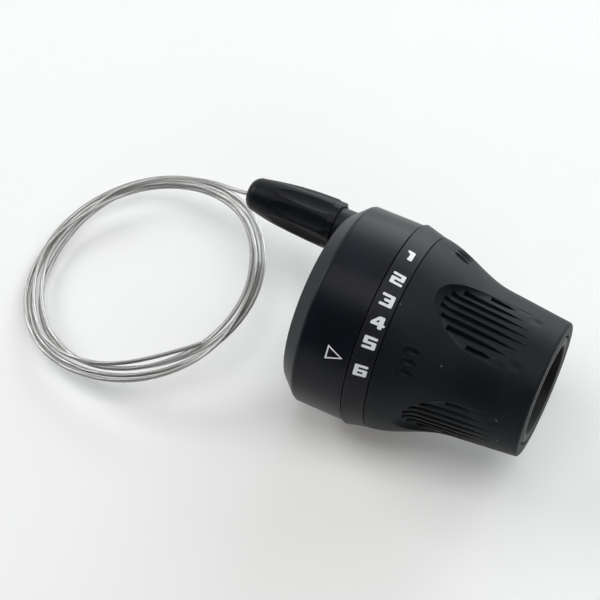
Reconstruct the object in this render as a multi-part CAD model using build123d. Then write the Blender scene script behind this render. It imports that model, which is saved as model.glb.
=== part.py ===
from build123d import *
import math
import os

# Twist grip shifter for the right end of a bicycle handlebar.
# Frame: X runs along the bar towards its free end, Y forwards, Z up; millimetres.
# The origin lies on the bar's axis, at the housing's inboard face.
# A clock angle counts from +Z towards the rider (-Y), so a positive turn about +X adds to it.

# Handlebar and fits
BAR_RADIUS = 11.1
CLAMP_CLEARANCE = 0.06
SLEEVE_CLEARANCE = 0.25
RUNNING_GAP = 0.3
FIT_GAP = 0.05

# Housing
HOUSING_RADIUS = 25.5
HOUSING_LENGTH = 17.0
RIM_RADIUS = 21.6
RIM_LENGTH = 4.2
RIM_ROUND = 1.2
CAVITY_DEPTH = 10.0
SHELL_WALL = 2.2

# Number ring
RING_WIDTH = 5.3
RING_PROUD = 0.5
RING_WALL = 2.4
RING_WEB = 2.0
SEAM_GAP = 0.2
GEAR_ANGLES = (-9.6, 6.9, 20.3, 32.7, 43.6, 60.0)

# Rubber grip: a straight taper with a flare towards the number ring
GRIP_LENGTH = 35.6
GRIP_END_RADIUS = 17.0
GRIP_TAPER = 0.105
FLARE_HEIGHT = 3.9
FLARE_LENGTH = 19.2
GRIP_EDGE_ROUND = 0.8
RUBBER_WALL = 3.5
END_GROOVE_WIDTH = 0.5
END_GROOVE_DEPTH = 0.7
END_CHAMFER = 0.25

# Finger scoops and the grooves in their floors
SCOOP_COUNT = 4
SCOOP_ANGLE = 2.5
SCOOP_START = 6.3
SCOOP_LENGTH = 23.6
SCOOP_DEPTH = 2.0
SCOOP_STEP = 0.22
SCOOP_NOSE = 13.7
SCOOP_HALF_WIDTH = 8.3
SCOOP_STEEPNESS = 14
GROOVE_COUNT = 8
GROOVE_PITCH = 2.05
GROOVE_DEPTH = 1.1
GROOVE_FLOOR = 0.5
GROOVE_MOUTH = 1.5
GROOVE_LENGTH = 23.0
GROOVE_FAN = 0.115

# Three small lens marks between two scoops
MARK_COUNT = 3
MARK_PITCH_ANGLE = 6.7
MARK_START = 6.8
MARK_HALF_LENGTH = 2.6
MARK_RADIUS = 1.15
MARK_LIFT = 0.3

# Grip sleeve
SLEEVE_WALL = 2.1
SPIGOT_WALL = 1.55
SKIRT_WALL = 1.8
SKIRT_RIBS = 6
SKIRT_RIB_WIDTH = 1.6
DRIVE_KEYS = 3
DRIVE_KEY_WIDTH = 2.6
DRIVE_KEY_HEIGHT = 0.9

# Cable drum and its detents
DRUM_CABLE_RADIUS = 15.0
DRUM_LIP = 0.7
DRUM_STEP = 1.6
DETENT_ROOM = 2.1
DETENT_DEPTH = 1.2
DETENT_ANGLE = 180.0
DETENT_HALF_WIDTH = 1.7
SPRING_STRIP = 0.5
SPRING_SPAN = 8.0
SPRING_WIDTH = 1.6

# Retaining ring
CIRCLIP_SHOULDER = 0.7
CIRCLIP_THICKNESS = 0.9
CIRCLIP_GROOVE = 1.0
CIRCLIP_LIP = 3.0
CIRCLIP_OPENING = 26.0

# Bar clamp: a grub screw in a brass insert presses a shoe on the bar
CLAMP_ANGLE = -150.0
GRUB_RADIUS = 2.0
GRUB_LENGTH = 7.0
GRUB_SOCKET = 2.0
GRUB_SOCKET_DEPTH = 2.6
INSERT_WALL = 0.9
INSERT_LENGTH = 6.0
INSERT_START = 14.4
SHOE_THICKNESS = 1.2
SHOE_MARGIN = 1.0
SHOE_SPREAD = 44.0

# Cable
WIRE_RADIUS = 0.55
WIRE_BEND = 5.0
WIRE_WRAP = 54.0
HEAD_RADIUS = 1.75
HEAD_LENGTH = 4.0
GUIDE_THICKNESS = 3.0

# Cable adjuster, on an axis beside the bar
ADJUSTER_INSET = 7.22
ADJUSTER_ANGLE = 15.45
BOSS_RADIUS = 5.1
BOSS_LENGTH = 7.5
KNOB_STANDOFF = 4.8
KNOB_LENGTH = 21.8
KNOB_BASE_RADIUS = 6.45
KNOB_MIDDLE_RADIUS = 5.94
KNOB_TIP_RADIUS = 4.42
KNOB_NOSE = 2.5
KNOB_LIP = 0.35
KNOB_MOUTH_RADIUS = 2.6
KNOB_MOUTH_DEPTH = 12.2
KNOB_SKIRT_DEPTH = 8.2
KNOB_COLLAR = 2.0
KNOB_COLLAR_STEP = 0.2
FLUTE_COUNT = 9
FLUTE_ANGLE = 2.0
FLUTE_RADIUS = 5.0
FLUTE_DEPTH = 0.5
FLUTE_TILT = 2.6
BOLT_RADIUS = 2.5
BOLT_BORE = 1.1
BOLT_REACH = 4.5
BOLT_FLANGE_RADIUS = 3.3
BOLT_FLANGE = 1.4
WASHER_RADIUS = 4.9
WASHER_THICKNESS = 0.6
COIL_MEAN_RADIUS = 3.8
COIL_WIRE = 0.35
COIL_TURNS = 3

# Free cable: hand-placed points from the adjuster's mouth to the hank, and the hank's leaning ring
LEAD_STRAIGHT = 24.5
LEAD_POINTS = (
    (-33.2, 17.3, 3.2),
    (-40.3, 19.4, -0.2),
    (-47.8, 21.2, -4.8),
    (-55.5, 21.9, -9.8),
    (-62.5, 21.8, -14.4),
    (-69.0, 18.9, -17.9),
    (-74.0, 13.0, -20.3),
)
HANK_CENTRE = (-48.9, -4.5, -16.1)
HANK_SLOPE_X = 0.234
HANK_SLOPE_Y = 0.06
HANK_RADIUS = 30.45
HANK_BUNDLE = 2.7

ring_start = HOUSING_LENGTH + RUNNING_GAP
ring_end = ring_start + RING_WIDTH
grip_start = ring_end + SEAM_GAP
grip_end = grip_start + GRIP_LENGTH
scoop_start = grip_start + SCOOP_START
scoop_middle = scoop_start + SCOOP_NOSE
clamp_bore = BAR_RADIUS + CLAMP_CLEARANCE
sleeve_bore = BAR_RADIUS + SLEEVE_CLEARANCE
sleeve_radius = sleeve_bore + SLEEVE_WALL
spigot_radius = sleeve_bore + SPIGOT_WALL
cavity_radius = HOUSING_RADIUS - SHELL_WALL
hub_length = HOUSING_LENGTH - CAVITY_DEPTH
circlip_end = HOUSING_LENGTH - CIRCLIP_SHOULDER
circlip_start = circlip_end - CIRCLIP_THICKNESS
drum_end = circlip_start - RUNNING_GAP
wire_plane = hub_length + WIRE_BEND
drum_start = wire_plane - DRUM_LIP
drum_width = drum_end - drum_start
detent_radius = cavity_radius - DETENT_ROOM
clamp_place = 0.5 * hub_length
shoe_width = hub_length - 2 * SHOE_MARGIN
insert_radius = GRUB_RADIUS + INSERT_WALL
knob_base = -KNOB_STANDOFF
knob_tip = knob_base - KNOB_LENGTH
knob_mouth = knob_tip - KNOB_NOSE
knob_web = knob_base - KNOB_SKIRT_DEPTH
mouth_floor = knob_mouth + KNOB_MOUTH_DEPTH
adjuster_radius = HOUSING_RADIUS - ADJUSTER_INSET
adjuster_y = adjuster_radius * math.cos(math.radians(ADJUSTER_ANGLE))
adjuster_z = adjuster_radius * math.sin(math.radians(ADJUSTER_ANGLE))
adjuster = Pos(0, adjuster_y, adjuster_z)


def flare(x):
    """Height of the grip's flare over its straight taper at x."""
    run = min(max((x - grip_start) / FLARE_LENGTH, 0), 1)
    return 0.5 * FLARE_HEIGHT * (1 + math.cos(math.pi * run))


def grip_radius(x):
    """Outer radius of the plain grip at x."""
    return GRIP_END_RADIUS + GRIP_TAPER * (grip_end - x) + flare(x)


def scoop_depth(x, y=0.0):
    """Depth of a scoop under the plain grip, y away from its middle; it takes the flare off and runs out."""
    run = max((x - scoop_start) / SCOOP_LENGTH, 0)
    nose = max((scoop_middle - x) / SCOOP_NOSE, 0)
    wall = math.hypot(nose, y / SCOOP_HALF_WIDTH) ** SCOOP_STEEPNESS
    return min(SCOOP_DEPTH, flare(x) + SCOOP_STEP * (1 - run ** 3)) * (1 - wall)


def scoop_floor(x, y):
    """Height of a scoop's floor over the axis, y away from its middle."""
    return math.sqrt((grip_radius(x) - scoop_depth(x, y)) ** 2 - y ** 2)


def skirt_radius(x):
    """Radius where the rubber meets the sleeve's skirt."""
    return max(grip_radius(x) - RUBBER_WALL, sleeve_radius)


def stations(start, stop, count):
    """Evenly spaced places from start to stop, both included."""
    return [start + (stop - start) * i / (count - 1) for i in range(count)]


def turned(*edges):
    """Solid of revolution about the bar's axis from the edges of an outline in (x, radius)."""
    return revolve(Plane.XZ * make_face(Curve() + list(edges)), Axis.X)


def turned_polygon(*points):
    """Solid of revolution about the bar's axis from straight-sided corners in (x, radius)."""
    return turned(Polyline(*points, close=True))


def tube(start, end, outer, inner):
    """Straight tube about the bar's axis."""
    return turned_polygon((start, inner), (end, inner), (end, outer), (start, outer))


def radial(angle, x, start, end, radius):
    """Cylinder pointing out from the bar's axis at a clock angle."""
    return Rot(X=angle) * Pos(x, 0, (start + end) / 2) * Cylinder(radius, end - start)


def turns(count, first, shape):
    """Copies of a shape evenly spaced about the bar's axis."""
    return [Rot(X=first + 360 * i / count) * shape for i in range(count)]


def housing():
    """Moulded shell with a solid hub, a rounded inboard rim and the adjuster's boss."""
    rim = [(0, RIM_RADIUS), (RIM_LENGTH, HOUSING_RADIUS)]
    body = turned_polygon((0, clamp_bore), *rim, (HOUSING_LENGTH, HOUSING_RADIUS),
                          (HOUSING_LENGTH, clamp_bore))
    for x, radius in rim:
        circles = body.edges().filter_by(GeomType.CIRCLE)
        corner = circles.sort_by(lambda e: abs(e.center().X - x) + abs(e.radius - radius))[0]
        body = fillet(corner, RIM_ROUND)
    body -= tube(hub_length, HOUSING_LENGTH, cavity_radius, 0.5 * clamp_bore)
    body -= tube(circlip_start, circlip_end, cavity_radius + CIRCLIP_GROOVE + FIT_GAP, cavity_radius)
    boss_depth = 0.5 * hub_length
    boss = Rot(Y=90) * Cylinder(BOSS_RADIUS, BOSS_LENGTH + boss_depth)
    boss = Pos(0.5 * (boss_depth - BOSS_LENGTH), 0, 0) * boss
    thread = Rot(Y=90) * Cylinder(BOLT_RADIUS + FIT_GAP, 4 * BOSS_LENGTH)
    body = body + adjuster * boss - adjuster * thread
    body -= radial(CLAMP_ANGLE, clamp_place, INSERT_START, HOUSING_RADIUS, insert_radius)
    body -= radial(CLAMP_ANGLE, clamp_place, BAR_RADIUS, INSERT_START, GRUB_RADIUS + FIT_GAP)
    return body - clamp_shoe(FIT_GAP)


def clamp_shoe(room=0.0):
    """Curved plate between the grub screw and the bar; room grows it to the pocket that holds it."""
    half = 0.5 * shoe_width + room
    inner = clamp_bore if room == 0 else BAR_RADIUS
    plate = tube(clamp_place - half, clamp_place + half, clamp_bore + SHOE_THICKNESS + room, inner)
    reach = math.radians(0.5 * SHOE_SPREAD) + room / clamp_bore
    far = 2 * BAR_RADIUS
    sector = Polyline((0, 0), (-far * math.sin(reach), far * math.cos(reach)),
                      (far * math.sin(reach), far * math.cos(reach)), close=True)
    wedge = extrude(Plane.YZ * make_face(sector), HOUSING_LENGTH)
    return plate & (Rot(X=CLAMP_ANGLE) * wedge)


def clamp_insert():
    """Threaded brass insert moulded into the hub."""
    end = INSERT_START + INSERT_LENGTH
    body = radial(CLAMP_ANGLE, clamp_place, INSERT_START, end, insert_radius)
    return body - radial(CLAMP_ANGLE, clamp_place, 0, end + 1, GRUB_RADIUS)


def clamp_screw():
    """Grub screw with a hexagon socket, standing on the clamp shoe."""
    start = clamp_bore + SHOE_THICKNESS
    end = start + GRUB_LENGTH
    body = radial(CLAMP_ANGLE, clamp_place, start, end, GRUB_RADIUS)
    socket = extrude(RegularPolygon(0.5 * GRUB_SOCKET, 6, major_radius=False), GRUB_SOCKET_DEPTH)
    return body - Rot(X=CLAMP_ANGLE) * Pos(clamp_place, 0, end - GRUB_SOCKET_DEPTH) * socket


def retaining_ring():
    """Open spring ring in the housing's groove that keeps the drum in."""
    outer = cavity_radius + CIRCLIP_GROOVE
    ring = tube(circlip_start, circlip_end, outer, outer - CIRCLIP_GROOVE - CIRCLIP_LIP)
    gap = 2 * outer * math.tan(math.radians(0.5 * CIRCLIP_OPENING))
    opening = Pos(circlip_start, 0, outer) * Box(4 * CIRCLIP_THICKNESS, gap, 2 * outer)
    return ring - Rot(X=DETENT_ANGLE) * opening


def detent_spring():
    """Bent leaf under the drum, its ends on the housing's wall and its nose in a notch."""
    foot = math.sqrt((cavity_radius - FIT_GAP) ** 2 - SPRING_SPAN ** 2) - SPRING_STRIP
    crest = detent_radius + RUNNING_GAP
    nose = detent_radius - 0.5 * DETENT_DEPTH
    bend = DETENT_HALF_WIDTH
    inner = [(-SPRING_SPAN, foot), (-bend, crest), (0, nose), (bend, crest), (SPRING_SPAN, foot)]
    outer = [(y, z + SPRING_STRIP) for y, z in reversed(inner)]
    leaf = extrude(Plane.YZ * make_face(Polyline(*inner, *outer, close=True)), SPRING_WIDTH)
    return Rot(X=DETENT_ANGLE) * Pos(drum_end - SPRING_WIDTH - RUNNING_GAP, 0, 0) * leaf


def cable_drum():
    """Drum that winds the cable, with a row of detent notches and a pocket for the cable's head."""
    groove = DRUM_CABLE_RADIUS - WIRE_RADIUS - FIT_GAP
    step = drum_start + DRUM_STEP
    body = turned_polygon((drum_start, spigot_radius), (drum_start, groove), (step, groove),
                          (step, detent_radius), (drum_end, detent_radius), (drum_end, spigot_radius))
    floor, over = detent_radius - DETENT_DEPTH, detent_radius + 0.4
    notch = Polyline((0, floor), (DETENT_HALF_WIDTH, over), (-DETENT_HALF_WIDTH, over), close=True)
    cutter = Pos(drum_start, 0, 0) * extrude(Plane.YZ * make_face(notch), 2 * drum_width)
    for angle in GEAR_ANGLES:
        body -= Rot(X=DETENT_ANGLE + angle - GEAR_ANGLES[-1]) * cutter
    body -= cable_head(FIT_GAP)
    for key in drive_keys(FIT_GAP):
        body -= key
    return body


def drive_keys(room=0.0):
    """Keys on the sleeve's spigot that turn the drum."""
    height = DRIVE_KEY_HEIGHT + room
    key = Box(drum_width + 2 * room, DRIVE_KEY_WIDTH + 2 * room, 2 * height)
    return turns(DRIVE_KEYS, 60, Pos(drum_start + 0.5 * drum_width, 0, spigot_radius) * key)


def wire_line():
    """Clock angle where the wire comes onto the drum, and its unit direction there in (y, z)."""
    lean = math.degrees(math.acos(DRUM_CABLE_RADIUS / adjuster_radius))
    around = ADJUSTER_ANGLE + lean
    return around - 90, (-math.sin(math.radians(around)), math.cos(math.radians(around)))


def cable_head(room=0.0):
    """Cylindrical nipple on the cable's inner end; room grows it to its pocket."""
    angle = wire_line()[0] + WIRE_WRAP
    barrel = Rot(X=90) * Cylinder(HEAD_RADIUS + room, HEAD_LENGTH + 2 * room)
    return Rot(X=angle) * Pos(wire_plane, -0.5 * HEAD_LENGTH, DRUM_CABLE_RADIUS) * barrel


def wire_on_drum():
    """Wire wrapped on the drum, from the point where it comes on to the cable's head."""
    section = Pos(wire_plane, DRUM_CABLE_RADIUS) * Circle(WIRE_RADIUS)
    arc = revolve(Plane.XZ * section, Axis.X, WIRE_WRAP)
    return Rot(X=wire_line()[0]) * arc


def wire_in_guide():
    """Wire from the floor of the adjuster's mouth, through the hub, round the guide to the drum."""
    dy, dz = wire_line()[1]
    run = math.sqrt(adjuster_radius ** 2 - DRUM_CABLE_RADIUS ** 2)
    turn = Vector(wire_plane, adjuster_y, adjuster_z)
    finish = turn + Vector(0, dy, dz) * (run - RUNNING_GAP)
    path = FilletPolyline((mouth_floor, adjuster_y, adjuster_z), tuple(turn), tuple(finish), radius=WIRE_BEND)
    return sweep(Plane(path @ 0, z_dir=path % 0) * Circle(WIRE_RADIUS), path)


def cable_guide():
    """Quarter-round post on the hub that turns the wire from the adjuster onto the drum."""
    dy, dz = wire_line()[1]
    radius = WIRE_BEND - WIRE_RADIUS - FIT_GAP
    centre = Vector(hub_length, adjuster_y + dy * WIRE_BEND, adjuster_z + dz * WIRE_BEND)
    plane = Plane(centre, x_dir=(1, 0, 0), z_dir=(0, dz, -dy))
    corner = Pos(radius, radius) * Box(2 * radius, 2 * radius, GUIDE_THICKNESS)
    post = Cylinder(radius, GUIDE_THICKNESS) & corner
    quarter = plane * post
    if quarter.center().Z > centre.Z:
        quarter = plane * Rot(X=180) * post
    return quarter


def grip_sleeve():
    """Inner tube with a spigot for the drum and a ribbed, hollow skirt under the rubber's flare."""
    spigot = tube(drum_start, ring_start, spigot_radius, sleeve_bore)
    bevel = grip_end - END_CHAMFER
    barrel = turned_polygon((ring_start, sleeve_bore), (bevel, sleeve_bore),
                            (grip_end, sleeve_bore + END_CHAMFER), (grip_end, sleeve_radius - END_CHAMFER),
                            (bevel, sleeve_radius), (ring_start, sleeve_radius))
    flare_end = grip_start + FLARE_LENGTH
    xs = stations(grip_start, flare_end, 6)
    outside = Spline(*[(x, skirt_radius(x)) for x in xs])
    inside = Spline(*[(x, max(skirt_radius(x) - SKIRT_WALL, sleeve_radius - 0.5)) for x in xs])
    first, last = xs[0], xs[-1]
    skirt = turned(outside, Line(outside @ 1, inside @ 1), inside, Line(inside @ 0, outside @ 0))
    filled = turned(outside, Polyline(outside @ 1, (last, sleeve_bore), (first, sleeve_bore), outside @ 0))
    fin = Box(last - first, SKIRT_RIB_WIDTH, sleeve_radius)
    fin = Pos(0.5 * (first + last), 0, 1.5 * sleeve_radius) * fin
    body = spigot + barrel + skirt
    for rib in turns(SKIRT_RIBS, SCOOP_ANGLE, fin):
        body += rib & filled
    body -= tube(drum_start, bevel, sleeve_bore, 0.5 * sleeve_bore)
    for key in drive_keys():
        body += key & tube(drum_start, drum_end, 2 * spigot_radius, spigot_radius - 0.2)
    return body


def number_ring():
    """Hard ring that carries the gear numbers, on a web around the sleeve."""
    big = HOUSING_RADIUS + RING_PROUD
    small = grip_radius(grip_start)
    web = ring_end - RING_WEB
    body = turned_polygon((ring_start, big - RING_WALL), (ring_start, big), (ring_end, small),
                          (ring_end, sleeve_radius), (web, sleeve_radius), (web, small - RING_WALL))
    rims = body.edges().filter_by(GeomType.CIRCLE).sort_by(lambda e: e.radius)[-2:]
    return fillet(rims, 0.3)


def plain_rubber():
    """Rubber sleeve before its scoops are cut, with a rounded end edge and a groove round the tube."""
    outer = [(x, grip_radius(x)) for x in stations(grip_start, grip_end - GRIP_EDGE_ROUND, 9)]
    bend = GRIP_EDGE_ROUND * (1 - math.sqrt(0.5))
    edge_top = outer[-1]
    edge_end = (grip_end, edge_top[1] - GRIP_EDGE_ROUND)
    edge_mid = (grip_end - bend, edge_top[1] - bend)
    lip = sleeve_radius + END_GROOVE_WIDTH
    flare_end = grip_start + FLARE_LENGTH
    inner = [(x, skirt_radius(x)) for x in stations(flare_end, grip_start, 6)]
    inside = Spline(*inner)
    groove_floor = grip_end - END_GROOVE_DEPTH
    end_face = Polyline(edge_end, (grip_end, lip + END_CHAMFER), (grip_end - END_CHAMFER, lip),
                        (groove_floor, lip), (groove_floor, sleeve_radius), (flare_end, sleeve_radius),
                        inner[0])
    return turned(Spline(*outer), ThreePointArc(edge_top, edge_mid, edge_end), end_face, inside,
                  Line(inner[-1], outer[0]))


def scoop_section(x):
    """Cross-section of a scoop's cutter at x: a floor that curves up into its walls, under a roof."""
    nose = max((scoop_middle - x) / SCOOP_NOSE, 0)
    half = SCOOP_HALF_WIDTH * math.sqrt(1 - nose ** 2)
    side = [(half * u, scoop_floor(x, half * u)) for u in (0.32, 0.62, 0.82, 0.93, 1)]
    side.append((half + 0.22, side[-1][1] + 0.5))
    floor = Spline(*[(-y, z) for y, z in reversed(side)], (0, scoop_floor(x, 0)), *side)
    reach, roof = side[-1][0], HOUSING_RADIUS + 2
    lid = Polyline(floor @ 1, (reach, roof), (-reach, roof), floor @ 0)
    return Plane.YZ.offset(x) * make_face(Curve() + [floor, lid])


def scoop():
    """Cutter for one scoop above the axis, with a round nose towards the number ring."""
    nose = [scoop_middle - SCOOP_NOSE * math.cos(math.radians(a)) for a in (4, 14, 27, 42, 58, 74, 90)]
    end = scoop_start + SCOOP_LENGTH
    return loft([scoop_section(x) for x in nose + [scoop_middle + 3.5, scoop_middle + 7, end + 0.6]])


def groove(offset):
    """Cutter for one tapering groove along a scoop's floor, at a distance from the scoop's middle."""
    reach = math.sqrt(max(0.89 ** 2 - (offset / SCOOP_HALF_WIDTH) ** 2, 0))
    start = scoop_middle - SCOOP_NOSE * reach
    stop = scoop_start + GROOVE_LENGTH - GROOVE_FAN * offset ** 2
    sections = []
    for x in stations(start, stop, 6):
        taper = 1 - ((x - start) / (stop - start)) ** 3
        floor = math.sqrt((grip_radius(x) - scoop_depth(max(x, scoop_start + 2), 0)) ** 2 - offset ** 2)
        low, high = floor - GROOVE_DEPTH * taper - 0.02, scoop_floor(x, offset) + 0.2
        foot, mouth = 0.5 * GROOVE_FLOOR * taper + 0.04, 0.5 * GROOVE_MOUTH * taper + 0.08
        corners = Polyline((-foot, low), (foot, low), (mouth, high), (-mouth, high), close=True)
        sections.append(Plane.YZ.offset(x) * Pos(offset) * make_face(corners))
    return loft(sections, ruled=True)


def lens_mark():
    """Cutter for one small lens-shaped mark, a spindle lying along the flare above the axis."""
    arc = ThreePointArc((-MARK_HALF_LENGTH, 0), (0, MARK_RADIUS), (MARK_HALF_LENGTH, 0))
    spindle = revolve(Plane.XZ * make_face(Curve() + [arc, Line(arc @ 1, arc @ 0)]), Axis.X)
    x = grip_start + MARK_START
    slope = math.degrees(math.atan(grip_radius(x - 1) - grip_radius(x + 1)) / 2)
    return Pos(x, 0, grip_radius(x) + MARK_LIFT) * Rot(Y=slope) * spindle


def grip_rubber():
    """Moulded rubber with scoops, their grooves, and a set of three marks between each two scoops."""
    cutters = turns(SCOOP_COUNT, SCOOP_ANGLE, scoop())
    for i in range(GROOVE_COUNT):
        cutters += turns(SCOOP_COUNT, SCOOP_ANGLE, groove((i - 0.5 * (GROOVE_COUNT - 1)) * GROOVE_PITCH))
    for i in range(MARK_COUNT):
        angle = SCOOP_ANGLE + 180 / SCOOP_COUNT + (i - 0.5 * (MARK_COUNT - 1)) * MARK_PITCH_ANGLE
        cutters += turns(SCOOP_COUNT, angle, lens_mark())
    return plain_rubber() - cutters


def adjuster_knob():
    """Bulging barrel with broad flutes, a skirt over the boss and a mouth for the cable's casing."""
    collar = knob_base - KNOB_COLLAR
    neck = KNOB_BASE_RADIUS - KNOB_COLLAR_STEP
    skirt = BOSS_RADIUS + RUNNING_GAP
    lip = KNOB_MOUTH_RADIUS + KNOB_LIP
    barrel = ThreePointArc((collar, KNOB_BASE_RADIUS), (0.5 * (collar + knob_tip), KNOB_MIDDLE_RADIUS),
                           (knob_tip, KNOB_TIP_RADIUS))
    bend = (knob_tip - 0.65 * KNOB_NOSE, 0.62 * KNOB_TIP_RADIUS + 0.38 * lip)
    nose = ThreePointArc(barrel @ 1, bend, (knob_mouth, lip))
    rest = Polyline(nose @ 1, (knob_mouth, KNOB_MOUTH_RADIUS), (mouth_floor, KNOB_MOUTH_RADIUS),
                    (mouth_floor, BOLT_BORE), (knob_web, BOLT_BORE), (knob_web, skirt), (knob_base, skirt),
                    (knob_base, neck), (collar, neck), barrel @ 0)
    body = turned(barrel, nose, rest)
    away = KNOB_BASE_RADIUS + FLUTE_RADIUS - FLUTE_DEPTH
    flute = Pos(collar, 0, away) * Rot(Y=90 - FLUTE_TILT) * Cylinder(FLUTE_RADIUS, 2 * KNOB_LENGTH)
    body -= turns(FLUTE_COUNT, FLUTE_ANGLE, flute)
    return adjuster * body - adjuster_bolt()


def adjuster_bolt():
    """Hollow threaded stem, held in the knob by its flange."""
    flange = knob_web - BOLT_FLANGE - 0.6
    body = turned_polygon((flange, BOLT_BORE), (BOLT_REACH, BOLT_BORE), (BOLT_REACH, BOLT_RADIUS),
                          (flange + BOLT_FLANGE, BOLT_RADIUS), (flange + BOLT_FLANGE, BOLT_FLANGE_RADIUS),
                          (flange, BOLT_FLANGE_RADIUS))
    return adjuster * body


def click_washer():
    """Washer that the spring holds against the knob's web."""
    near = knob_web + FIT_GAP
    return adjuster * tube(near, near + WASHER_THICKNESS, WASHER_RADIUS, BOLT_RADIUS + FIT_GAP)


def adjuster_spring():
    """Compression spring between the boss and the washer."""
    start = knob_web + FIT_GAP + WASHER_THICKNESS + COIL_WIRE
    stop = -BOSS_LENGTH - COIL_WIRE
    path = Helix(pitch=(stop - start) / COIL_TURNS, height=stop - start, radius=COIL_MEAN_RADIUS)
    coil = sweep(Plane(path @ 0, z_dir=path % 0) * Circle(COIL_WIRE), path, is_frenet=True)
    return adjuster * Pos(start, 0, 0) * Rot(Y=90) * coil


def lead_path():
    """Route of the free cable from the adjuster to the hank, as runs joined by tangent arcs."""
    start = [(mouth_floor, adjuster_y, adjuster_z), (-LEAD_STRAIGHT, adjuster_y, adjuster_z)]
    points = [Vector(p) for p in (*start, *LEAD_POINTS)]
    radii = []
    for before, here, after in zip(points, points[1:], points[2:]):
        turn = (here - before).get_angle(after - here)
        shorter = min((here - before).length, (after - here).length)
        radii.append(0.45 * shorter / math.tan(math.radians(0.5 * turn)))
    print("lead radii", [round(r, 1) for r in radii])
    return FilletPolyline(*points, radius=radii)


def cable_lead():
    """Free cable between the adjuster and the hank."""
    path = lead_path()
    body = sweep(Plane(path @ 0, z_dir=path % 0) * Circle(WIRE_RADIUS), path)
    print("lead length", round(path.length, 1), "volume", round(body.volume, 1),
          "section times length", round(math.pi * WIRE_RADIUS ** 2 * path.length, 1))
    return body


def cable_hank():
    """Outer shape of the coiled cable, a ring that leans up towards the housing."""
    plane = Plane(HANK_CENTRE, z_dir=(-HANK_SLOPE_X, -HANK_SLOPE_Y, 1))
    return plane * Torus(HANK_RADIUS, HANK_BUNDLE)


NODES = {
    "housing": housing,
    "clamp_screw": clamp_screw,
    "clamp_insert": clamp_insert,
    "clamp_shoe": clamp_shoe,
    "retaining_ring": retaining_ring,
    "detent_spring": detent_spring,
    "cable_guide": cable_guide,
    "wire_in_guide": wire_in_guide,
    "cable_drum": cable_drum,
    "cable_head": cable_head,
    "wire_on_drum": wire_on_drum,
    "grip_sleeve": grip_sleeve,
    "number_ring": number_ring,
    "grip_rubber": grip_rubber,
    "adjuster_knob": adjuster_knob,
    "adjuster_bolt": adjuster_bolt,
    "click_washer": click_washer,
    "adjuster_spring": adjuster_spring,
    "cable_lead": cable_lead,
    "cable_hank": cable_hank,
}

os.makedirs("parts", exist_ok=True)
for name, make in NODES.items():
    export_step(make(), os.path.join("parts", name + ".step"))
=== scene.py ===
"""Studio scene of a twist grip shifter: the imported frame, its free cable, its print and its finishes."""

import logging
import math
from dataclasses import dataclass, field
from enum import Enum
from typing import Any, Callable, Iterator

import bmesh
import bpy
from mathutils import Matrix, Vector


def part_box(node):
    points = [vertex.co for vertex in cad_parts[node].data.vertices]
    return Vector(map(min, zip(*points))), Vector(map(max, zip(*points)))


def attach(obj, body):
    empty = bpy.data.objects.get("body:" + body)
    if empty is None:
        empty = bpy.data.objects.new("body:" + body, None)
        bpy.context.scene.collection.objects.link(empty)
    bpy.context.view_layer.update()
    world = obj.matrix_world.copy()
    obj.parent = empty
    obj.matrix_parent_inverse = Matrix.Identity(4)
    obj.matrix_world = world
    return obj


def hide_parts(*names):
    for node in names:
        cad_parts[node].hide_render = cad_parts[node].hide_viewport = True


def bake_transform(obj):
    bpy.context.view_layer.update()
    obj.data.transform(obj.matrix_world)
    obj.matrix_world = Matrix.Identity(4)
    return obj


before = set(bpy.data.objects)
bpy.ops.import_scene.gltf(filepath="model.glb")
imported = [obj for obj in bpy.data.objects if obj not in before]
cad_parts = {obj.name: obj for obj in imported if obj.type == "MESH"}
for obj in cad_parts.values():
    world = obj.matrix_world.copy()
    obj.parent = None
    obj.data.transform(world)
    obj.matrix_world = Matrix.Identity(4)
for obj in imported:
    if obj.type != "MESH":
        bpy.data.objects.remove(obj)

LOG = logging.getLogger("shifter")
MM = 0.001
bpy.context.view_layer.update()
NOISE_MIDDLE = 0.5
SHARP_TURN = math.radians(35.0)

Point = tuple[float, float, float]
Colour = tuple[float, float, float]
Span = tuple[float, float]
Pair = tuple[float, float]
Outline = list[Pair]


class Body(Enum):
    """Bodies of the frame that the new pieces follow."""

    HOUSING = "housing_body"
    GRIP = "grip"
    WASHER = "washer"


class Slot(Enum):
    """Names of the record's material slots."""

    HOUSING = "housing"
    RING = "number_ring"
    BRIGHT_STEEL = "bright_steel"
    CABLE = "cable"


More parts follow.
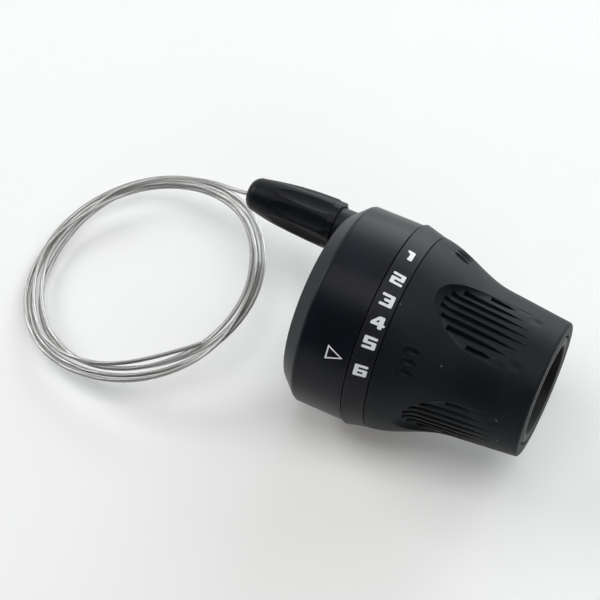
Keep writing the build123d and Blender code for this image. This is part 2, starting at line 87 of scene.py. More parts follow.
class Value:
    """A shader socket that takes part in Python arithmetic, each step adding a Math node."""

    def __init__(self, graph: "Graph", socket: bpy.types.NodeSocket) -> None:
        """Keeps the socket and the graph that it belongs to."""
        self.graph = graph
        self.socket = socket

    def math(self, operation: str, *others: "Value | float", first: "float | None" = None) -> "Value":
        """Adds one Math node.

        Args:
            operation: the Math node's operation.
            others: the inputs after this value.
            first: a number that takes the first place, with this value after it.

        Returns:
            The node's result.
        """
        values: list[Any] = [self, *others] if first is None else [first, self]
        return self.graph.node("ShaderNodeMath", {"operation": operation}, dict(enumerate(values)))

    def __add__(self, other: "Value | float") -> "Value":
        """Sum."""
        return self.math("ADD", other)

    __radd__ = __add__

    def __mul__(self, other: "Value | float") -> "Value":
        """Product."""
        return self.math("MULTIPLY", other)

    __rmul__ = __mul__

    def __sub__(self, other: "Value | float") -> "Value":
        """Difference."""
        return self.math("SUBTRACT", other)

    def __rsub__(self, other: float) -> "Value":
        """Difference from a number."""
        return self.math("SUBTRACT", first=other)

    def wave(self) -> "Value":
        """Wave from 0 to 1 along an angle in radians."""
        return 0.5 + 0.5 * self.math("SINE")

    def step(self, low: float, high: float) -> "Value":
        """Smooth rise from 0 at low to 1 at high."""
        inputs = {"Value": self, "From Min": low, "From Max": high}
        return self.graph.node("ShaderNodeMapRange", {"interpolation_type": "SMOOTHSTEP"}, inputs)


class Graph:
    """Node tree of one material."""

    # Places of a colour Mix node's sockets, whose names repeat.
    MIX_SHARE, MIX_LOW, MIX_HIGH, MIX_RESULT = 0, 6, 7, 2

    def __init__(self, name: str) -> None:
        """Makes an empty material with its output.

        Args:
            name: the material's name.
        """
        self.material = bpy.data.materials.new(name)
        self.material.use_nodes = True
        self.tree = self.material.node_tree
        self.tree.nodes.clear()
        self.output = self.tree.nodes.new("ShaderNodeOutputMaterial")

    def node(self, kind: str, settings: dict[str, Any], inputs: dict[Any, Any], output: Any = 0) -> Value:
        """Adds a node.

        Args:
            kind: Blender's name of the node's type.
            settings: the node's own properties.
            inputs: values or links by socket name or number.
            output: name or number of the output that is used.

        Returns:
            The chosen output.
        """
        made = self.tree.nodes.new(kind)
        for key, value in settings.items():
            setattr(made, key, value)
        for key, value in inputs.items():
            if isinstance(value, Value):
                self.tree.links.new(value.socket, made.inputs[key])
            else:
                made.inputs[key].default_value = value
        return Value(self, made.outputs[output])

    def place(self, axis: str, source: str = "Object") -> Value:
        """One coordinate of a point: Object, in metres, or UV."""
        spot = self.node("ShaderNodeTexCoord", {}, {}, source)
        return self.node("ShaderNodeSeparateXYZ", {}, {"Vector": spot}, axis)

    def noise(self, scale: float, detail: float = 3.0, stretch: Point = (1, 1, 1)) -> Value:
        """Noise on Object coordinates.

        Args:
            scale: its repeats a metre.
            detail: its octaves.
            stretch: factors on the scale along the three axes.

        Returns:
            The noise, from 0 to 1.
        """
        spot = self.node("ShaderNodeTexCoord", {}, {}, "Object")
        spot = self.node("ShaderNodeMapping", {}, {"Vector": spot, "Scale": stretch})
        return self.node("ShaderNodeTexNoise", {}, {"Vector": spot, "Scale": scale, "Detail": detail})

    def cells(self, scale: float) -> Value:
        """Distance to the nearest of scattered points, with scale in points a metre."""
        spot = self.node("ShaderNodeTexCoord", {}, {}, "Object")
        return self.node("ShaderNodeTexVoronoi", {}, {"Vector": spot, "Scale": scale})

    def mix(self, share: Value, low: "Colour | Value", high: "Colour | Value") -> Value:
        """Mixes two colours.

        Args:
            share: the second colour's share, from 0 to 1.
            low: the first colour.
            high: the second colour.

        Returns:
            The colour between them.
        """
        low, high = (colour if isinstance(colour, Value) else (*colour, 1) for colour in (low, high))
        inputs = {self.MIX_SHARE: share, self.MIX_LOW: low, self.MIX_HIGH: high}
        return self.node("ShaderNodeMix", {"data_type": "RGBA"}, inputs, self.MIX_RESULT)

    def bump(self, height: Value, distance: float, strength: float) -> Value:
        """Bumped normal from a height of 0 to 1 and the real depth of it, in metres."""
        return self.node("ShaderNodeBump", {}, {"Strength": strength, "Distance": distance, "Height": height})

    def surface(self, **inputs: Any) -> bpy.types.Material:
        """Closes the graph with a Principled shader.

        Args:
            inputs: the shader's sockets by name, with _ for a space, and Specular for its specular level.

        Returns:
            The finished material.
        """
        named = {key.replace("_", " "): value for key, value in inputs.items()}
        if "Specular" in named:
            named["Specular IOR Level"] = named.pop("Specular")
        return self.close(self.node("ShaderNodeBsdfPrincipled", {}, named))

    def close(self, shader: Value) -> bpy.types.Material:
        """Links a shader to the output and returns the finished material."""
        self.tree.links.new(shader.socket, self.output.inputs["Surface"])
        return self.material


@dataclass(frozen=True)
class Moulding:
    """Finish of a black plastic moulding with a fine spark-eroded grain."""

    name: str
    dark: Colour
    light: Colour
    roughness: float
    specular: float = 0.5
    detail: float = 2.0
    flow_scale: float = 90.0
    flow_span: Span = (0.35, 0.7)
    flow_roughness: float = 0.1
    grain_scale: float = 5000.0
    grain_depth: float = 0.00002
    grain_strength: float = 0.35
    grain_roughness: float = 0.12

    def material(self) -> bpy.types.Material:
        """Makes a material with a soft colour drift and a fine grain.

        Returns:
            The finished material.
        """
        graph = Graph(self.name)
        flow = graph.noise(self.flow_scale, self.detail)
        grain = graph.noise(self.grain_scale, self.detail)
        colour = graph.mix(flow.step(*self.flow_span), self.dark, self.light)
        rough = self.roughness + self.grain_roughness * (grain - NOISE_MIDDLE)
        rough = rough + self.flow_roughness * (flow - NOISE_MIDDLE)
        return graph.surface(Base_Color=colour, Roughness=rough, Specular=self.specular,
                             Normal=graph.bump(grain, self.grain_depth, self.grain_strength))


@dataclass(frozen=True)
class RimmedMoulding(Moulding):
    """Housing finish: a dark face with a paler inboard rim."""

    grain_roughness: float = 0.14
    rim: Colour = (0.016, 0.018, 0.021)
    rim_roughness: float = 0.36
    rim_end: float = 0.0044
    rim_blend: float = 0.0002

    def material(self) -> bpy.types.Material:
        """Makes a material that changes from the rim's finish to the face's along the bar.

        Returns:
            The finished material.
        """
        graph = Graph(self.name)
        face = graph.place("X").step(self.rim_end - self.rim_blend, self.rim_end + self.rim_blend)
        flow = graph.noise(self.flow_scale, self.detail)
        grain = graph.noise(self.grain_scale, self.detail)
        colour = graph.mix(flow.step(*self.flow_span), self.dark, self.light)
        colour = graph.mix(face, self.rim, colour)
        rough = self.rim_roughness + face * (self.roughness - self.rim_roughness)
        rough = rough + self.grain_roughness * (grain - NOISE_MIDDLE)
        return graph.surface(Base_Color=colour, Roughness=rough, Specular=self.specular,
                             Normal=graph.bump(grain, self.grain_depth, self.grain_strength))


@dataclass(frozen=True)
class Rubber:
    """Finish of matte charcoal rubber with a dusty bloom and a few pale specks."""

    name: str
    dark: Colour = (0.003, 0.005, 0.007)
    roughness: float = 0.5
    specular: float = 0.16
    bloom: Colour = (0.006, 0.009, 0.012)
    bloom_scale: float = 120.0
    bloom_detail: float = 4.0
    bloom_span: Span = (0.35, 0.75)
    bloom_roughness: float = 0.06
    skin_scale: float = 4200.0
    skin_depth: float = 0.00003
    skin_strength: float = 0.4
    skin_roughness: float = 0.14
    speck: Colour = (0.18, 0.18, 0.185)
    speck_share: float = 0.7
    speck_scale: float = 330.0
    speck_span: Span = (0.05, 0.09)
    patch_scale: float = 210.0
    patch_detail: float = 1.0
    patch_span: Span = (0.54, 0.60)

    def material(self) -> bpy.types.Material:
        """Makes a material with bloom, a fine skin and specks that keep to scattered patches.

        Returns:
            The finished material.
        """
        graph = Graph(self.name)
        bloom = graph.noise(self.bloom_scale, self.bloom_detail).step(*self.bloom_span)
        skin = graph.noise(self.skin_scale)
        specks = 1 - graph.cells(self.speck_scale).step(*self.speck_span)
        patches = graph.noise(self.patch_scale, self.patch_detail).step(*self.patch_span)
        colour = graph.mix(bloom, self.dark, self.bloom)
        colour = graph.mix(specks * patches * self.speck_share, colour, self.speck)
        rough = self.roughness + self.skin_roughness * (skin - NOISE_MIDDLE) + self.bloom_roughness * bloom
        return graph.surface(Base_Color=colour, Roughness=rough, Specular=self.specular,
                             Normal=graph.bump(skin, self.skin_depth, self.skin_strength))


@dataclass(frozen=True)
class Steel:
    """Finish of bare metal with fine lines and a little staining."""

    name: str
    bright: Colour
    stained: Colour
    roughness: float
    stretch: Point = (1, 1, 1)
    line_scale: float = 2600.0
    line_depth: float = 0.00002
    line_strength: float = 0.3
    line_roughness: float = 0.2
    stain_scale: float = 240.0
    stain_detail: float = 4.0
    stain_span: Span = (0.45, 0.75)
    stain_roughness: float = 0.1

    def material(self) -> bpy.types.Material:
        """Makes a material with drawn lines and stains.

        Returns:
            The finished material.
        """
        graph = Graph(self.name)
        lines = graph.noise(self.line_scale, stretch=self.stretch)
        stain = graph.noise(self.stain_scale, self.stain_detail).step(*self.stain_span)
        colour = graph.mix(stain, self.bright, self.stained)
        rough = self.roughness + self.line_roughness * (lines - NOISE_MIDDLE) + self.stain_roughness * stain
        return graph.surface(Base_Color=colour, Roughness=rough, Metallic=1.0,
                             Normal=graph.bump(lines, self.line_depth, self.line_strength))


@dataclass(frozen=True)
class Strand:
    """Finish of a galvanised wire strand: wires laid round the cable, with painted shade in the crevices
    between them.
    """

    name: str
    wire: Colour = (0.54, 0.54, 0.53)
    # Painted shade: the dark colour of the crevices between the wires.
    crevice_shade: Colour = (0.19, 0.19, 0.19)
    roughness: float = 0.34
    lays: float = 95.0
    wires: float = 12.0
    wire_span: Span = (0.0, 0.55)
    wire_depth: float = 0.00005
    wire_strength: float = 0.5
    stain: Colour = (0.34, 0.33, 0.32)
    stain_share: float = 0.3
    stain_scale: float = 300.0
    stain_span: Span = (0.4, 0.8)
    stain_roughness: float = 0.15

    def material(self) -> bpy.types.Material:
        """Makes a material with helical wires from the cable's own UV map, and painted shade between the
        wires.

        Returns:
            The finished material.
        """
        graph = Graph(self.name)
        along, around = graph.place("X", "UV"), graph.place("Y", "UV")
        ridge = (math.tau * (along * self.lays + around * self.wires)).wave()
        stain = graph.noise(self.stain_scale).step(*self.stain_span)
        # Painted shade: the dips between the wire ridges take the dark crevice colour.
        colour = graph.mix(ridge.step(*self.wire_span), self.crevice_shade, self.wire)
        colour = graph.mix(stain * self.stain_share, colour, self.stain)
        rough = self.roughness + self.stain_roughness * stain
        return graph.surface(Base_Color=colour, Roughness=rough, Metallic=1.0,
                             Normal=graph.bump(ridge, self.wire_depth, self.wire_strength))


@dataclass(frozen=True)
class Print:
    """Finish of white screen print with slightly uneven ink."""

    name: str
    ink: Colour = (0.80, 0.81, 0.83)
    thin: Colour = (0.62, 0.63, 0.66)
    roughness: float = 0.5
    specular: float = 0.3
    wear_scale: float = 1500.0
    wear_detail: float = 4.0
    wear_span: Span = (0.55, 0.75)
    wear_roughness: float = 0.2

    def material(self) -> bpy.types.Material:
        """Makes a material with thin places in the ink.

        Returns:
            The finished material.
        """
        graph = Graph(self.name)
        wear = graph.noise(self.wear_scale, self.wear_detail)
        colour = graph.mix(wear.step(*self.wear_span), self.ink, self.thin)
        rough = self.roughness + self.wear_roughness * (wear - NOISE_MIDDLE)
        return graph.surface(Base_Color=colour, Roughness=rough, Specular=self.specular)


Finish = Moulding | Rubber | Steel


def meshed(name: str, shape: bmesh.types.BMesh, material: bpy.types.Material) -> bpy.types.Object:
    """Turns a bmesh into a smooth-shaded piece, on which sharp turns stay sharp.

    Args:
        name: the piece's name.
        shape: the mesh, which is freed.
        material: the piece's finish.

    Returns:
        The new object.
    """
    mesh = bpy.data.meshes.new(name)
    shape.to_mesh(mesh)
    shape.free()
    mesh.shade_smooth()
    mesh.set_sharp_from_angle(angle=SHARP_TURN)
    mesh.materials.append(material)
    made = bpy.data.objects.new(name, mesh)
    bpy.context.scene.collection.objects.link(made)
    LOG.info("%s: %d faces", name, len(mesh.polygons))
    return made


@dataclass(frozen=True)
class Sheet:
    """Square sheet of white paper that keeps shadows and reads as paler to the camera and in reflections.

    Its size is half its side, in metres. Its lift is the share of plain white in what the camera and
    reflections see of it.
    """

    name: str
    size: float
    lift: float
    paper: Colour = (0.92, 0.92, 0.915)
    glow: Colour = (1, 0.965, 0.93)
    cells: int = 4

    def material(self) -> bpy.types.Material:
        """Makes the paper's material.

        Returns:
            The finished material.
        """
        graph = Graph(self.name)
        paper = graph.node("ShaderNodeBsdfDiffuse", {}, {"Color": (*self.paper, 1)})
        glow = graph.node("ShaderNodeEmission", {}, {"Color": (*self.glow, 1), "Strength": 1.0})
        camera, glossy, passing = (graph.node("ShaderNodeLightPath", {}, {}, f"Is {ray} Ray")
                                   for ray in ("Camera", "Glossy", "Transmission"))
        seen = (camera + glossy + passing) * self.lift
        return graph.close(graph.node("ShaderNodeMixShader", {}, {0: seen, 1: paper, 2: glow}))

    def lay(self, place: Matrix) -> None:
        """Adds the sheet to the stage.

        Args:
            place: where it lies, in metres.
        """
        shape = bmesh.new()
        bmesh.ops.create_grid(shape, x_segments=self.cells, y_segments=self.cells,
                              size=self.size, matrix=place)
        mesh = bpy.data.meshes.new(self.name)
        shape.to_mesh(mesh)
        shape.free()
        mesh.materials.append(self.material())
        made = bpy.data.objects.new(self.name, mesh)
        bpy.context.scene.collection.objects.link(made)


@dataclass(frozen=True)
class Lamp:
    """Square soft lamp that faces the object, with its place and side in metres and its power in watts."""

    name: str
    place: Point
    side: float
    power: float
    colour: Colour = (1, 1, 1)

    def hang(self) -> None:
        """Adds the lamp to the studio."""
        data = bpy.data.lights.new(self.name, "AREA")
        data.size = self.side
        data.energy = self.power
        data.color = self.colour
        made = bpy.data.objects.new(self.name, data)
        made.location = self.place
        made.rotation_euler = (-Vector(self.place)).to_track_quat("-Z", "Y").to_euler()
        bpy.context.scene.collection.objects.link(made)


@dataclass(frozen=True)
class Studio:
    """Camera, paper and soft light of the photograph.

    The camera's places, lens and sensor and the floor's level are in millimetres, the rest in metres.
    """

    eye: Point = (95.92, -202.04, 332.16)
    target: Point = (-4.77, -3.22, 0.0)
    lens: float = 98.26
    sensor: float = 36.0
    nearest: float = 0.01
    floor_level: float = -26.05
    floor: Sheet = Sheet("studio_floor", size=3.0, lift=0.12)
    backdrop: Sheet = Sheet("studio_backdrop", size=1.5, lift=1.0)
    backdrop_place: float = 0.9
    lamps: tuple[Lamp, ...] = (
        Lamp("left_lamp", (-0.76, 0.0, 0.48), side=0.45, power=3.6),
        Lamp("right_lamp", (0.42, 0.0, 0.79), side=0.45, power=1.8),
        Lamp("top_lamp", (0.0, -0.12, 0.85), side=0.45, power=2.1),
        Lamp("back_lamp", (0.40, 0.64, 0.48), side=0.6, power=1.2, colour=(0.93, 0.98, 1.0)),
        Lamp("low_back_lamp", (0.05, 0.80, 0.26), side=0.6, power=3.9, colour=(0.84, 0.94, 1.0)),
        Lamp("front_lamp", (0.54, -0.54, 0.48), side=0.35, power=0.8),
    )
    room_colour: Colour = (1, 1, 1)
    room_strength: float = 0.04

    def camera(self) -> None:
        """Places the camera, level, at the photograph's viewpoint."""
        data = bpy.data.cameras.new("studio_camera")
        data.sensor_fit = "HORIZONTAL"
        data.sensor_width = self.sensor
        data.lens = self.lens
        data.clip_start = self.nearest
        made = bpy.data.objects.new("studio_camera", data)
        made.location = Vector(self.eye) * MM
        look = (Vector(self.target) - Vector(self.eye)).to_track_quat("-Z", "Y")
        made.rotation_euler = look.to_euler()
        bpy.context.scene.collection.objects.link(made)
        bpy.context.scene.camera = made

    def paper_stage(self) -> None:
        """Lays the floor and stands a backdrop far behind the object."""
        level = self.floor_level * MM
        self.floor.lay(Matrix.Translation((0, 0, level)))
        middle = Matrix.Translation((0, self.backdrop_place, level + self.backdrop.size))
        self.backdrop.lay(middle @ Matrix.Rotation(math.pi / 2, 4, "X"))

    def light(self) -> None:
        """Hangs the lamps round the object, as in a light tent with an opening for the camera."""
        for lamp in self.lamps:
            lamp.hang()
        world = bpy.data.worlds.new("studio_room")
        world.use_nodes = True
        room = world.node_tree.nodes["Background"]
        room.inputs["Color"].default_value = (*self.room_colour, 1)
        room.inputs["Strength"].default_value = self.room_strength
        bpy.context.scene.world = world
        bpy.context.scene.view_settings.view_transform = "Standard"

    def build(self) -> None:
        """Sets up the whole studio."""
        self.camera()
        self.paper_stage()
        self.light()


@dataclass(frozen=True)
class GearCable:
    """Free cable: a lead from the adjuster's mouth, then a loose hank with a bare cut end.

    The lead's points are in millimetres. Each turn of the hank lists its reach from the middle and its
    height over the ring's plane, in millimetres, once every step of degrees.
    """

    lead: tuple[Point, ...] = (
        (-16.9, 17.62, 4.87),
        (-24.5, 17.62, 4.87),
        (-33.2, 17.3, 3.2),
        (-40.3, 19.4, -0.2),
        (-47.8, 21.2, -4.8),
        (-55.5, 21.9, -9.8),
        (-62.5, 21.8, -14.4),
        (-69.0, 18.9, -17.9),
        (-74.0, 13.0, -20.3),
    )
    centre: Point = (-48.9, -4.5, -16.1)
    slope: Pair = (0.234, 0.06)
    start: float = 180.0
    step: float = 30.0
    end: float = 1769.7
    turns: tuple[tuple[Pair, ...], ...] = (
        ((29.4, 0.8), (28.1, 0.4), (28.2, 0.2), (29.4, 0.2),
         (29.4, 0.2), (29.6, 0.3), (28.9, 0.2), (28.2, 0.2)),
        ((29.3, -0.5), (29.6, -0.6), (29.3, 0.2), (28.6, 1.2), (31.2, 1.2), (32.8, 0.3),
         (32.8, -0.5), (32.1, -0.5), (32.7, -0.4), (33.3, 0.6), (30.6, 1.2), (29.3, 0.3)),
        ((29.9, 0.5), (30.0, 0.5), (30.1, 0.4), (29.1, 0.0), (27.9, -0.6), (28.9, -0.8),
         (29.4, -0.8), (28.6, -0.9), (28.5, -0.8), (30.2, -0.8), (30.7, -0.6), (30.3, 0.0)),
        ((31.0, -0.2), (31.3, -0.2), (31.8, -0.3), (31.2, -0.5), (30.7, -0.3), (31.6, -0.2),
         (31.7, -0.2), (30.9, -0.1), (31.4, 0.0), (32.2, 0.0), (31.9, -0.2), (31.5, -0.1)),
        ((32.1, 0.2), (32.3, 0.2), (32.3, 0.4), (32.0, 0.6), (31.3, 1.1), (30.0, 1.0),
         (30.6, 0.9), (29.2, 1.1), (27.5, 0.9), (29.15, 1.2)),
    )
    exit: Point = (-29.1, 17.45, 4.0)
    wire_radius: float = 0.55
    length: float = 0.93
    curve_order: int = 3
    curve_steps: int = 6
    round_steps: int = 3

    def hank(self) -> Iterator[Point]:
        """Works out the hank's control points, turn by turn.

        Yields:
            Points in millimetres.
        """
        across = Vector((1, 0, self.slope[0])).normalized()
        normal = Vector((-self.slope[0], -self.slope[1], 1)).normalized()
        along = normal.cross(across)
        corner = 1 / math.cos(math.radians(0.5 * self.step))
        for i, (reach, height) in enumerate(spot for turn in self.turns for spot in turn):
            angle = math.radians(min(self.start + i * self.step, self.end))
            outward = math.cos(angle) * across + math.sin(angle) * along
            yield tuple(Vector(self.centre) + corner * reach * outward + height * normal)

    def build(self, finish: Strand) -> bpy.types.Object:
        """Makes the cable as one smooth line.

        Args:
            finish: the strand's finish.

        Returns:
            The cable's curve object.
        """
        points = [*self.lead, *self.hank()]
        curve = bpy.data.curves.new("gear_cable", "CURVE")
        curve.dimensions = "3D"
        spline = curve.splines.new("NURBS")
        spline.points.add(len(points) - 1)
        for knot, place in zip(spline.points, points):
            knot.co = (*(Vector(place) * MM), 1)
        spline.order_u = self.curve_order
        spline.use_endpoint_u = True
        curve.resolution_u = self.curve_steps
        curve.bevel_depth = self.wire_radius * MM
        curve.bevel_resolution = self.round_steps
        curve.use_fill_caps = True
        curve.materials.append(finish.material())
        made = bpy.data.objects.new("gear_cable", curve)
        bpy.context.scene.collection.objects.link(made)
        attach(made, Body.HOUSING.value)
        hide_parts("cable_lead", "cable_hank")
        LOG.info("gear_cable: %d control points", len(points))
        return made


@dataclass(frozen=True)
class GearPrint:
    """White print: squared numerals on the ring and an outlined pointer on the housing.

    Sizes are in millimetres. The pointer's corners, like the numerals' places, are given by x and the
    clock angle round the bar in degrees.
    """

    angles: tuple[float, ...] = (-9.6, 7.0, 19.9, 32.2, 43.7, 60.0)
    left: float = 18.6
    width: float = 3.1
    height: float = 2.95
    bar: float = 0.66
    stem: float = 0.95
    tongue: float = 0.8
    corner: float = 0.26
    corner_segments: int = 3
    ring_start: float = 17.3
    ring_radius: float = 26.0
    ring_slope: float = 0.2566
    housing_radius: float = 25.5
    pointer: tuple[Pair, ...] = ((11.2, 61.3), (11.2, 53.0), (15.4, 57.6))
    pointer_stroke: float = 0.65
    ink: float = 0.03
    cuts: int = 3

    def one(self) -> Outline:
        """Draws the 1: a stem with a flag to the left and a short foot.

        Returns:
            Its outline, from the lower left corner.
        """
        flag, foot, left, right = 0.3, 1.0, 1.15, 2.2
        foot_side, foot_top = 0.55, 0.6
        flag_root, flag_low, flag_top = (share * self.height for share in (0.62, 0.8, 0.94))
        return [(flag, flag_low), (flag, flag_top), (right, self.height), (right, 0),
                (foot, 0), (foot, foot_side), (left, foot_top), (left, flag_root)]

    def four(self) -> list[Outline]:
        """Draws the 4: a stem with a slanted side and an arm that passes it.

        Returns:
            Its outline and its counter, from the lower left corner.
        """
        inset, overhang = 0.2, 0.3
        peak, left, right, arm_end = 1.55, 1.85, self.width - inset, self.width + overhang
        arm_low, arm_top, slant_foot = 0.7, 1.3, 1.25
        counter_left, counter_right, counter_low, counter_top = 1.05, 1.8, 1.45, 2.2
        outline = [(peak, self.height), (right, self.height), (right, arm_top), (arm_end, arm_top),
                   (arm_end, arm_low), (right, arm_low), (right, 0), (left, 0), (left, arm_low),
                   (0, arm_low), (0, slant_foot)]
        counter = [(counter_left, counter_low), (counter_right, counter_low), (counter_right, counter_top)]
        return [outline, counter]

    def numerals(self) -> list[list[Outline]]:
        """Draws the numerals 1 to 6, the squared ones from three bars and two stems.

        Returns:
            Each numeral's outline, with its counter if it has one, from the lower left corner.
        """
        w, h, left, right = self.width, self.height, self.stem, self.width - self.stem
        foot, head = self.bar, self.height - self.bar
        low = 0.5 * (self.height - self.bar)
        high = self.height - low
        two = [(0, h), (w, h), (w, low), (left, low), (left, foot), (w, foot),
               (w, 0), (0, 0), (0, high), (right, high), (right, head), (0, head)]
        three = [(0, h), (w, h), (w, 0), (0, 0), (0, foot), (right, foot), (right, low),
                 (self.tongue, low), (self.tongue, high), (right, high), (right, head), (0, head)]
        five = [(0, h), (w, h), (w, head), (left, head), (left, high), (w, high),
                (w, 0), (0, 0), (0, foot), (right, foot), (right, low), (0, low)]
        six = [(0, h), (w, h), (w, head), (left, head), (left, high), (w, high), (w, 0), (0, 0)]
        six_counter = [(left, foot), (right, foot), (right, low), (left, low)]
        return [[self.one()], [two], [three], self.four(), [five], [six, six_counter]]

    def drawn(self, outlines: list[Outline]) -> bmesh.types.BMesh:
        """Fills a numeral's outlines, with the outer corners rounded.

        Args:
            outlines: the outer outline, then its counter if it has one.

        Returns:
            The flat numeral, in millimetres.
        """
        shape = bmesh.new()
        face = shape.faces.new([shape.verts.new((*spot, 0)) for spot in outlines[0]])
        face.normal_update()
        convex = [loop.vert for loop in face.loops if loop.is_convex]
        bmesh.ops.bevel(shape, geom=convex, offset=self.corner, segments=self.corner_segments,
                        profile=0.5, affect="VERTICES", material=-1)
        bmesh.ops.delete(shape, geom=shape.faces[:], context="FACES_ONLY")
        for counter in outlines[1:]:
            ring = [shape.verts.new((*spot, 0)) for spot in counter]
            for near, far in zip(ring, ring[1:] + ring[:1]):
                shape.edges.new((near, far))
        bmesh.ops.triangle_fill(shape, use_beauty=True, edges=shape.edges[:])
        return shape

    def ring_face(self, x: float) -> float:
        """Radius of the ring's conical face at x."""
        return self.ring_radius - self.ring_slope * (x - self.ring_start)

    def housing_face(self, x: float) -> float:
        """Radius of the housing's round face, the same at every x."""
        return self.housing_radius

    def wrap(self, shape: bmesh.types.BMesh, radius: Callable[[float], float]) -> None:
        """Bends a flat print, drawn as (x, clock angle in degrees), onto a round face.

        Args:
            shape: the flat print.
            radius: the face's radius at x.
        """
        bmesh.ops.subdivide_edges(shape, edges=shape.edges[:], cuts=self.cuts, use_grid_fill=True)
        for vert in shape.verts:
            x, angle = vert.co.x, math.radians(vert.co.y)
            reach = radius(x) + self.ink
            vert.co = Vector((x, -reach * math.sin(angle), reach * math.cos(angle))) * MM
        shape.normal_update()
        inward = [f for f in shape.faces if f.normal.dot(Vector((0, *f.calc_center_median()[1:]))) < 0]
        bmesh.ops.reverse_faces(shape, faces=inward)

    def numeral_shape(self, outlines: list[Outline], middle: float) -> bmesh.types.BMesh:
        """Draws one numeral on the ring.

        Args:
            outlines: the outer outline, then its counter if it has one.
            middle: the clock angle of the numeral's middle.

        Returns:
            The print, in metres.
        """
        degree = math.degrees(1 / self.ring_face(self.left + 0.5 * self.width))
        shape = self.drawn(outlines)
        for vert in shape.verts:
            vert.co = (self.left + vert.co.x, middle - (vert.co.y - 0.5 * self.height) * degree, 0)
        self.wrap(shape, self.ring_face)
        return shape

    def pointer_shape(self) -> bmesh.types.BMesh:
        """Draws the pointer's outline on the housing.

        Returns:
            The print, in metres.
        """
        shape = bmesh.new()
        corners = [(x, math.radians(angle) * self.housing_radius, 0) for x, angle in self.pointer]
        face = shape.faces.new([shape.verts.new(corner) for corner in corners])
        shape.normal_update()
        bmesh.ops.inset_individual(shape, faces=[face], thickness=self.pointer_stroke)
        bmesh.ops.delete(shape, geom=[face], context="FACES_ONLY")
        for vert in shape.verts:
            vert.co.y = math.degrees(vert.co.y / self.housing_radius)
        self.wrap(shape, self.housing_face)
        return shape

    def build(self, finish: Print) -> list[bpy.types.Object]:
        """Makes every numeral and the pointer.

        Args:
            finish: the ink.

        Returns:
            The print's objects.
        """
        ink = finish.material()
        made = []
        for number, (outlines, middle) in enumerate(zip(self.numerals(), self.angles), 1):
            shape = self.numeral_shape(outlines, middle)
            made.append(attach(meshed(f"numeral_{number}", shape, ink), Body.GRIP.value))
        shape = self.pointer_shape()
        made.append(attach(meshed("gear_pointer", shape, ink), Body.HOUSING.value))
        return made


@dataclass(frozen=True)
class AdjusterSpring:
    """Compression spring of the adjuster, wound once in its CAD node's place."""

    turns: int = 3
    wire: float = 0.35
    steps: int = 28
    sides: int = 10

    def build(self, finish: Steel) -> bpy.types.Object:
        """Winds the spring between the boss and the washer, in the place of its CAD node.

        Args:
            finish: the spring's steel.

        Returns:
            The new object.
        """
        low, high = (Vector(corner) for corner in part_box("adjuster_spring"))
        middle = 0.5 * (low + high)
        wire = self.wire * MM
        rise = high.x - low.x - 2 * wire
        radius = 0.5 * (high.z - low.z) - wire
        shape = bmesh.new()
        place = Matrix.Translation((low.x + wire, middle.y + radius, middle.z))
        bmesh.ops.create_circle(shape, segments=self.sides, radius=wire, matrix=place)
        count = self.turns * self.steps
        bmesh.ops.spin(shape, geom=shape.edges[:], cent=(low.x, middle.y, middle.z), axis=(1, 0, 0),
                       dvec=(rise / count, 0, 0), angle=math.tau * self.turns, steps=count)
        bmesh.ops.holes_fill(shape, edges=[edge for edge in shape.edges if edge.is_boundary], sides=0)
        bmesh.ops.recalc_face_normals(shape, faces=shape.faces[:])
        made = meshed("adjuster_coil", shape, finish.material())
        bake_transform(made)
        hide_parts("adjuster_spring")
        return made


def plastics() -> dict[str, Finish]:
    """Lists the mouldings and the rubber.

    Returns:
        Finishes by node.
    """
    inner = {"dark": (0.016, 0.016, 0.018), "light": (0.028, 0.028, 0.030), "roughness": 0.5}
    return {
        "housing": RimmedMoulding("housing_gloss", dark=(0.004, 0.005, 0.008), light=(0.006, 0.007, 0.012),
                                  roughness=0.34, specular=0.17),
        "number_ring": Moulding("ring_matte", dark=(0.005, 0.006, 0.008), light=(0.008, 0.009, 0.012),
                                roughness=0.44, specular=0.18),
        "grip_rubber": Rubber("grip_rubber"),
        "grip_sleeve": Moulding("sleeve_satin", dark=(0.005, 0.006, 0.007), light=(0.009, 0.010, 0.012),
                                roughness=0.5, specular=0.35),
        "adjuster_knob": Moulding("knob_matte", dark=(0.003, 0.004, 0.006), light=(0.006, 0.007, 0.010),
                                  roughness=0.38, specular=0.17),
        "cable_drum": Moulding("drum_plastic", **inner),
        "cable_guide": Moulding("guide_plastic", **inner),
    }


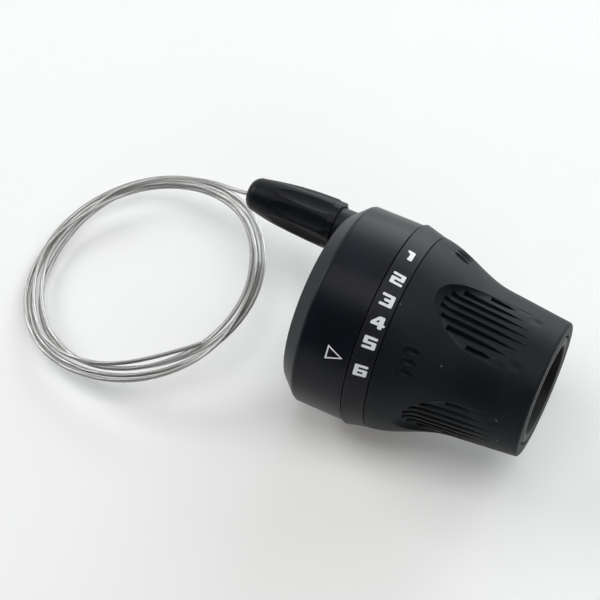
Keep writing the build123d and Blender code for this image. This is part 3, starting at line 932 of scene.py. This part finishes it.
def metals() -> dict[str, Finish]:
    """Lists the metals inside, the two pieces of wire with lines drawn out along them.

    Returns:
        Finishes by node.
    """
    wire = {"bright": (0.55, 0.55, 0.55), "stained": (0.38, 0.38, 0.37), "roughness": 0.36}
    return {
        "clamp_screw": Steel("black_oxide", (0.06, 0.06, 0.065), (0.03, 0.03, 0.032), roughness=0.4),
        "clamp_insert": Steel("turned_brass", (0.72, 0.52, 0.22), (0.50, 0.34, 0.14), roughness=0.32),
        "clamp_shoe": Steel("shoe_steel", (0.55, 0.55, 0.56), (0.36, 0.35, 0.34), roughness=0.36),
        "retaining_ring": Steel("ring_steel", (0.52, 0.52, 0.54), (0.33, 0.32, 0.31), roughness=0.34),
        "detent_spring": Steel("spring_steel", (0.60, 0.60, 0.61), (0.40, 0.39, 0.37), roughness=0.28),
        "adjuster_bolt": Steel("bolt_steel", (0.55, 0.55, 0.57), (0.38, 0.37, 0.36), roughness=0.33),
        "click_washer": Steel("washer_steel", (0.58, 0.58, 0.60), (0.42, 0.41, 0.40), roughness=0.3),
        "cable_head": Steel("head_zinc", (0.50, 0.50, 0.52), (0.36, 0.36, 0.37), roughness=0.45),
        "wire_in_guide": Steel("wire_zinc", **wire, stretch=(0.2, 1, 1)),
        "wire_on_drum": Steel("drum_wire_zinc", **wire, stretch=(1, 0.3, 0.3)),
    }


@dataclass(frozen=True)
class Finishes:
    """Finish of every node of the frame that keeps its own shape."""

    nodes: dict[str, Finish] = field(default_factory=lambda: plastics() | metals())

    def dress(self) -> None:
        """Gives every node that is shown its finish."""
        for name, finish in self.nodes.items():
            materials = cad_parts[name].data.materials
            materials.clear()
            materials.append(finish.material())
            LOG.info("%s: %s", name, finish.name)


def main() -> None:
    """Builds the studio, the cable, the print, the spring and the finishes."""
    logging.basicConfig(level=logging.INFO, format="%(name)s %(message)s")
    Studio().build()
    GearCable().build(Strand("wire_strand"))
    GearPrint().build(Print("white_ink"))
    AdjusterSpring().build(Steel("coil_steel", (0.60, 0.60, 0.61), (0.40, 0.39, 0.38), roughness=0.28))
    Finishes().dress()


if __name__ == "__main__":
    main()
